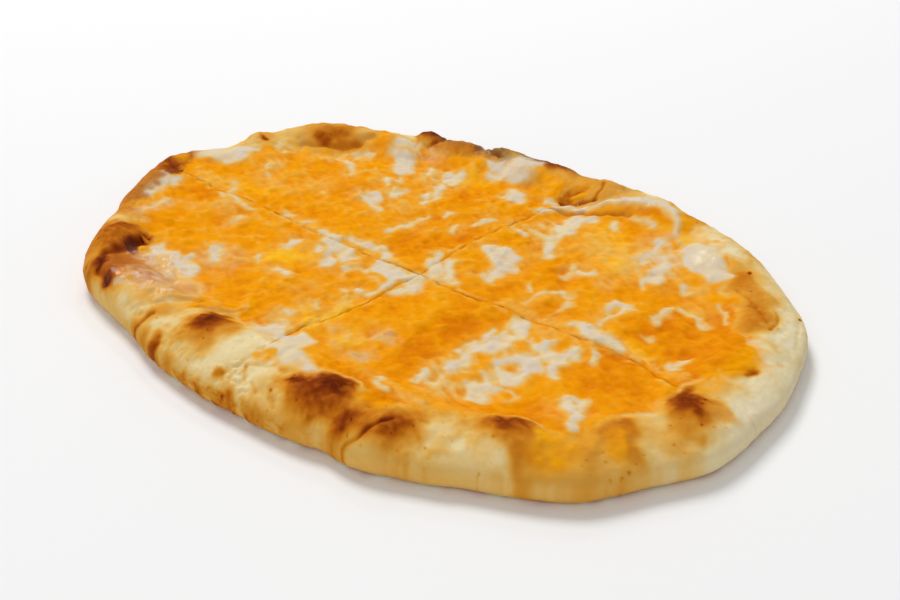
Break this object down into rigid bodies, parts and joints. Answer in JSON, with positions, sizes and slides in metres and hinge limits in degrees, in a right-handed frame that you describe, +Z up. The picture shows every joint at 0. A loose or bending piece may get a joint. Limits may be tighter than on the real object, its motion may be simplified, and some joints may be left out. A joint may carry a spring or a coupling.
{
  "type": "cheese naan",
  "caption": "Oval leavened flatbread with a puffed, blistered rim under a melted layer of orange and white cheese, cut crosswise into pieces that still lie together.",
  "frame": {"origin": "middle of the underside's bounding box, on the surface that the bread rests on", "axes": "+X along the naan's length, +Y across it, towards the back in the picture, and +Z up"},
  "size_m": [0.2414, 0.1724, 0.0168],
  "materials": {
    "naan_back_right": "baked crust",
    "naan_back_left": "baked crust",
    "naan_front_left": "baked crust",
    "naan_front_right": "baked crust",
    "cheese_back_right": "melted",
    "cheese_back_left": "melted",
    "cheese_front_left": "melted",
    "cheese_front_right": "melted"
  },
  "bodies": {
    "root": {"naan_back_right": "naan_back_right", "naan_back_left": "naan_back_left", "naan_front_left": "naan_front_left", "naan_front_right": "naan_front_right", "cheese_back_right": "cheese_back_right", "cheese_back_left": "cheese_back_left", "cheese_front_left": "cheese_front_left", "cheese_front_right": "cheese_front_right"}
  },
  "joints": []
}
